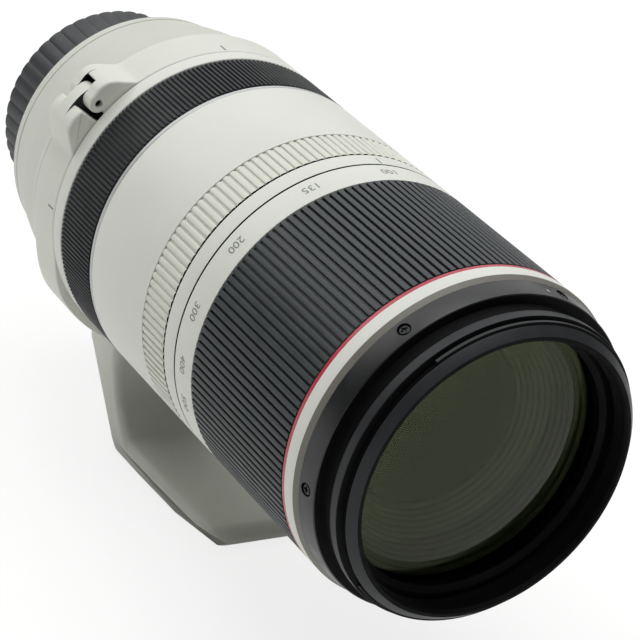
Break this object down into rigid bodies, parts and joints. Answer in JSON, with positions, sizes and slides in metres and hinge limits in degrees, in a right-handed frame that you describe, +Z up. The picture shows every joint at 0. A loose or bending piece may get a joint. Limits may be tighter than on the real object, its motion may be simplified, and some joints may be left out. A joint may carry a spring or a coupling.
{
  "type": "camera zoom lens",
  "caption": "Telephoto zoom camera lens with a ribbed zoom grip, narrow focus ring, extending front barrel, hinged tripod collar with foot, filter thread and rear cap.",
  "frame": {"origin": "centre of the mount flange's rear face", "axes": "+Y along the optical axis towards the camera, +Z up, so the front glass points to -Y and the tripod foot to -Z"},
  "size_m": [0.1108, 0.2232, 0.1239],
  "materials": {
    "white_shell": "satin",
    "white_alloy": "satin",
    "trim_alloy": "satin",
    "panel_plastic": "satin",
    "alloy": "satin",
    "brass": "satin",
    "black_plastic": "satin",
    "black_metal": "satin",
    "lens_glass": "polished",
    "steel": "satin",
    "mount_chrome": "polished",
    "rubber": "matte",
    "accent_paint": "gloss",
    "board": "matte",
    "screw_black": "satin"
  },
  "bodies": {
    "lens_body": {"rear_housing": "white_shell", "middle_barrel": "white_shell", "stop_ring": "white_shell", "trim_ring": "trim_alloy", "index_ring": "white_shell", "guide_barrel": "alloy", "guide_lock_ring": "brass", "rear_lens_frame": "black_plastic", "rear_glass": "lens_glass", "focus_rods": "steel", "focus_motor": "steel", "circuit_board": "board", "mount_plate": "mount_chrome", "mount_screws": "steel", "mount_seal": "rubber", "contact_block": "black_plastic", "contact_pins": "brass", "switch_panel": "panel_plastic"},
    "zoom_ring": {"zoom_ring": "white_shell", "zoom_grip": "rubber", "drive_sleeve": "alloy", "cam_barrel": "alloy", "zoom_keys": "steel", "dust_seal": "rubber"},
    "front_barrel": {"front_tube": "white_shell", "front_band": "white_shell", "accent_ring": "accent_paint", "front_bezel": "black_metal", "bezel_screws": "screw_black", "front_cell": "black_metal", "front_glass": "lens_glass", "second_glass": "lens_glass", "retaining_ring": "black_metal", "cam_followers": "brass", "light_baffle": "black_plastic"},
    "zoom_carriage": {"zoom_carriage": "black_plastic", "carriage_followers": "brass", "carriage_glass": "lens_glass", "iris_housing": "black_plastic", "iris_blades": "black_metal"},
    "yaw_frame": {"yaw_frame": "black_plastic"},
    "pitch_frame": {"pitch_frame": "black_plastic", "stabiliser_glass": "lens_glass"},
    "focus_group": {"focus_cell": "black_plastic", "focus_glass": "lens_glass"},
    "focus_ring": {"focus_ring": "black_plastic"},
    "tension_ring": {"tension_ring": "white_shell"},
    "tripod_collar": {"collar_foot": "white_alloy", "tripod_bush": "steel", "hinge_pin": "steel"},
    "collar_strap": {"collar_strap": "white_alloy"},
    "lock_knob": {"lock_knob": "black_plastic"},
    "rear_cap": {"rear_cap": "black_plastic"},
    "focus_mode_switch": {"focus_mode_switch": "black_plastic"},
    "focus_limit_switch": {"focus_limit_switch": "black_plastic"},
    "stabiliser_switch": {"stabiliser_switch": "black_plastic"},
    "stabiliser_mode_switch": {"stabiliser_mode_switch": "black_plastic"}
  },
  "joints": [
    {"name": "zoom_turn", "type": "hinge", "parent": "lens_body", "child": "zoom_ring", "pos_m": [0, 0, 0], "axis": [0, 1, 0], "range_deg": [0, 118]},
    {"name": "front_slide", "type": "slide", "parent": "lens_body", "child": "front_barrel", "axis": [0, -1, 0], "range_m": [0, 0.085]},
    {"name": "carriage_slide", "type": "slide", "parent": "lens_body", "child": "zoom_carriage", "axis": [0, -1, 0], "range_m": [0, 0.024]},
    {"name": "yaw_shift", "type": "slide", "parent": "zoom_carriage", "child": "yaw_frame", "axis": [1, 0, 0], "range_m": [-0.001, 0.001]},
    {"name": "pitch_shift", "type": "slide", "parent": "yaw_frame", "child": "pitch_frame", "axis": [0, 0, 1], "range_m": [-0.001, 0.001]},
    {"name": "focus_drive", "type": "slide", "parent": "lens_body", "child": "focus_group", "axis": [0, -1, 0], "range_m": [0, 0.009]},
    {"name": "focus_turn", "type": "hinge", "parent": "lens_body", "child": "focus_ring", "pos_m": [0, 0, 0], "axis": [0, 1, 0], "continuous": true},
    {"name": "tension_turn", "type": "hinge", "parent": "lens_body", "child": "tension_ring", "pos_m": [0, 0, 0], "axis": [0, 1, 0], "range_deg": [0, 50]},
    {"name": "collar_turn", "type": "hinge", "parent": "lens_body", "child": "tripod_collar", "pos_m": [0, 0, 0], "axis": [0, 1, 0], "continuous": true},
    {"name": "strap_open", "type": "hinge", "parent": "tripod_collar", "child": "collar_strap", "pos_m": [-0.03806, -0.0439, 0.03227], "axis": [0, -1, 0], "range_deg": [0, 65]},
    {"name": "knob_turn", "type": "hinge", "parent": "collar_strap", "child": "lock_knob", "pos_m": [0.053, -0.0439, 0], "axis": [0.3341, 0, 0.9425], "range_deg": [0, 540]},
    {"name": "cap_twist", "type": "hinge", "parent": "lens_body", "child": "rear_cap", "pos_m": [0, 0, 0], "axis": [0, 1, 0], "range_deg": [0, 60]},
    {"name": "focus_mode_slide", "type": "slide", "parent": "lens_body", "child": "focus_mode_switch", "axis": [0, -1, 0], "range_m": [0, 0.0035]},
    {"name": "focus_limit_slide", "type": "slide", "parent": "lens_body", "child": "focus_limit_switch", "axis": [0, -1, 0], "range_m": [0, 0.006]},
    {"name": "stabiliser_slide", "type": "slide", "parent": "lens_body", "child": "stabiliser_switch", "axis": [0, -1, 0], "range_m": [0, 0.0035]},
    {"name": "stabiliser_mode_slide", "type": "slide", "parent": "lens_body", "child": "stabiliser_mode_switch", "axis": [0, -1, 0], "range_m": [0, 0.006]}
  ],
  "couplings": [
    {"joint": "front_slide", "follows": "zoom_turn", "m_per_rad": 0.041272},
    {"joint": "carriage_slide", "follows": "zoom_turn", "m_per_rad": 0.011653}
  ]
}
